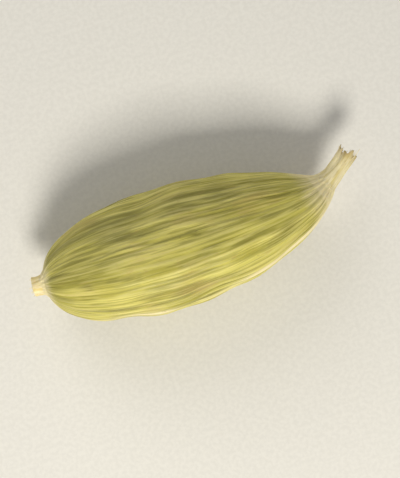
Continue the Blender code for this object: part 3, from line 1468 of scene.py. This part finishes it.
@dataclass(frozen=True)
class LooseFibres(Assembly):
    """Torn fibres at the rim of the flower tube and round the cut of the stalk."""

    tufts: tuple[Tuft, ...] = (
        Tuft(End.FLOWER, 13, (0.35 * MM, 0.85 * MM)),
        Tuft(End.STALK, 9, (0.15 * MM, 0.35 * MM)),
    )
    spread: float = 0.35
    rooted: tuple[float, float] = (0.72, 0.95)
    leans: tuple[float, float] = (-0.3, 0.5)
    droop: float = 0.1
    thickness: float = 0.075 * MM
    sunk: float = 0.4
    sides: int = 6
    bends: tuple[float, ...] = (0.02, 0.05, 0.09, 0.14)
    taper: float = 0.72
    seed: int = 17

    def roots(self) -> list[Root]:
        """Where every fibre grows, drawn by chance."""
        chance = random.Random(self.seed)
        return [self.root(tuft, fibre, chance) for tuft in self.tufts for fibre in range(tuft.count)]

    def root(self, tuft: Tuft, fibre: int, chance: random.Random) -> Root:
        """Draws where one fibre grows.

        Args:
            tuft: The tuft that it belongs to.
            fibre: Its place in the tuft, going round.
            chance: What it is drawn with.

        Returns:
            Its root.
        """
        limb = self.form.limb(tuft.end)
        angle = math.tau * (fibre + chance.uniform(-self.spread, self.spread)) / tuft.count
        along = np.array([limb.length * chance.uniform(*self.rooted)])
        centre, heading = limb.axis(along)
        out = around(np.zeros((1, 3)), heading, np.array([angle]), np.ones(1))[0]
        ahead = Vector((math.cos(heading[0]), math.sin(heading[0]), -self.droop)) * tuft.end.outward
        place = Vector(centre[0] + out * (limb.girth(along) - self.sunk * self.thickness))
        direction = ahead + Vector(out) * chance.uniform(*self.leans)
        length, spin = chance.uniform(*tuft.lengths), chance.uniform(0, math.tau)
        return Root(place, direction.normalized(), length, spin)

    def one_fibre(self) -> bpy.types.Object:
        """Draws a short prism out, thinner and further over at each step.

        Returns:
            One upright fibre of unit length.
        """
        step = 1 / (len(self.bends) + 1)
        deselect()
        bpy.ops.mesh.primitive_cylinder_add(
            vertices=self.sides, radius=0.5, depth=step, location=(0, 0, step / 2)
        )
        fibre = named("fibre")
        bpy.ops.object.mode_set(mode="EDIT")
        bpy.ops.mesh.select_mode(type="FACE")
        bpy.ops.mesh.select_all(action="DESELECT")
        bpy.ops.object.mode_set(mode="OBJECT")
        for face in fibre.data.polygons:
            face.select = face.normal.z > 0.9
        bpy.ops.object.mode_set(mode="EDIT")
        for bend in self.bends:
            bpy.ops.mesh.extrude_region_move(TRANSFORM_OT_translate={"value": (bend, 0, step)})
            bpy.ops.transform.resize(value=(self.taper, self.taper, 1), center_override=(bend, 0, 0))
        bpy.ops.object.mode_set(mode="OBJECT")
        return fibre

    def planted(self, model: bpy.types.Object, root: Root) -> bpy.types.Object:
        """Copies a fibre, with a mesh of its own.

        Args:
            model: The upright fibre.
            root: Where the copy goes.

        Returns:
            The copy.
        """
        copy = bpy.data.objects.new("fibre_copy", model.data.copy())
        bpy.context.collection.objects.link(copy)
        turned = root.direction.to_track_quat("Z", "Y").to_matrix().to_4x4()
        spun = Matrix.Rotation(root.spin, 4, "Z")
        size = Matrix.Diagonal((self.thickness, self.thickness, root.length, 1))
        copy.data.transform(Matrix.Translation(root.place) @ turned @ spun @ size)
        return copy

    def build(self) -> bpy.types.Object:
        """Copies one fibre to every root and joins the copies.

        Returns:
            The fibres as one piece.
        """
        model = self.one_fibre()
        copies = [self.planted(model, root) for root in self.roots()]
        bpy.data.objects.remove(model)
        deselect()
        for copy in copies:
            copy.select_set(True)
        bpy.context.view_layer.objects.active = copies[0]
        bpy.ops.object.join()
        fibres = named("loose_fibres")
        places = places_of(fibres)
        whole = np.ones(len(places))
        store(fibres, {Skin.SHARE: 0.5 * whole, Skin.STREAK: 0 * whole, Skin.FIBRE: places / MM})
        return fibres


@dataclass(frozen=True)
class Lamp:
    """A soft square lamp that faces the pod, hung to the right, up in the picture and over the floor."""

    name: str
    offset: tuple[float, float, float]
    size: float
    power: float
    colour: tuple[float, float, float]

    def light(self, target: Vector, roll: float) -> None:
        """Hangs the lamp.

        Args:
            target: What it shines at.
            roll: How far the picture is turned, seen from above.
        """
        place = Matrix.Rotation(roll, 3, "Z") @ Vector(self.offset)
        data = bpy.data.lights.new(self.name, "AREA")
        data.shape, data.size, data.energy, data.color = "SQUARE", self.size, self.power, self.colour
        lamp = bpy.data.objects.new(self.name, data)
        lamp.location = target + place
        lamp.rotation_euler = (-place).to_track_quat("-Z", "Y").to_euler()
        bpy.context.collection.objects.link(lamp)


@dataclass(frozen=True)
class Studio:
    """A pale floor, soft lamps and a camera that looks straight down on the pod."""

    pod_rise: float = math.radians(18)
    lens: float = 90.0
    view_width: float = 23.5 * MM
    clip: tuple[float, float] = (0.001, 10)
    frame_pixels: tuple[int, int] = (400, 478)
    floor_size: float = 1.5
    floor_finish: FloorFinish = FloorFinish()
    lamps: tuple[Lamp, ...] = (
        Lamp("key", (0.012, -0.1104, 0.1104), 0.05, 0.24, (1.0, 0.975, 0.9)),
        Lamp("fill", (-0.07, 0.112, 0.084), 0.1, 0.085, (1.0, 0.98, 0.93)),
    )
    sky_colour: Colour = (0.97, 0.98, 1.0, 1.0)
    sky_strength: float = 0.23

    def build_floor(self, height: float) -> None:
        """Lays the floor under the pod.

        Args:
            height: Height of its surface.
        """
        deselect()
        bpy.ops.mesh.primitive_plane_add(size=self.floor_size, location=(0, 0, height))
        floor = named("floor")
        floor.data.materials.append(self.floor_finish.material())

    def light_sky(self) -> None:
        """Sets the even light from all round."""
        world = bpy.data.worlds.new("studio_sky")
        world.use_nodes = True
        background = world.node_tree.nodes["Background"]
        background.inputs["Color"].default_value = self.sky_colour
        background.inputs["Strength"].default_value = self.sky_strength
        bpy.context.scene.world = world

    def place_camera(self, target: Vector) -> None:
        """Hangs the camera over the pod, rolled so that the pod rises to the right as in the photograph.

        Args:
            target: The middle of the picture.
        """
        data = bpy.data.cameras.new("camera")
        data.lens = self.lens
        data.clip_start, data.clip_end = self.clip
        width, height = self.frame_pixels
        sensor = data.sensor_width * width / height
        camera = bpy.data.objects.new("camera", data)
        camera.location = target + Vector((0, 0, self.view_width * self.lens / sensor))
        camera.rotation_euler = (0, 0, -self.pod_rise)
        bpy.context.collection.objects.link(camera)
        bpy.context.scene.camera = camera

    def build(self, low: Vector, high: Vector) -> None:
        """Builds the studio round the pod's box.

        Args:
            low: The box's lowest corner.
            high: Its highest corner.
        """
        middle = (low + high) / 2
        self.build_floor(low.z)
        for lamp in self.lamps:
            lamp.light(middle, -self.pod_rise)
        self.light_sky()
        self.place_camera(middle)
        bpy.context.scene.view_settings.view_transform = "Standard"


def main() -> None:
    """Builds and dresses the pod piece by piece, then the studio."""
    logging.basicConfig(level=logging.INFO, format="%(name)s: %(message)s")
    form = PodForm()
    assemblies = (
        Husk(form, HuskFinish()),
        FlowerTube(form, PaperFinish("withered_tube")),
        StalkStub(form, PaperFinish("stalk", torn_from=0.8)),
        LooseFibres(form, PaperFinish("fibre")),
    )
    for assembly in assemblies:
        piece = assembly.build()
        assembly.dress(piece)
        LOG.info("%s: %d faces", piece.name, len(piece.data.polygons))
    Studio().build(*cad_box)


if __name__ == "__main__":
    main()
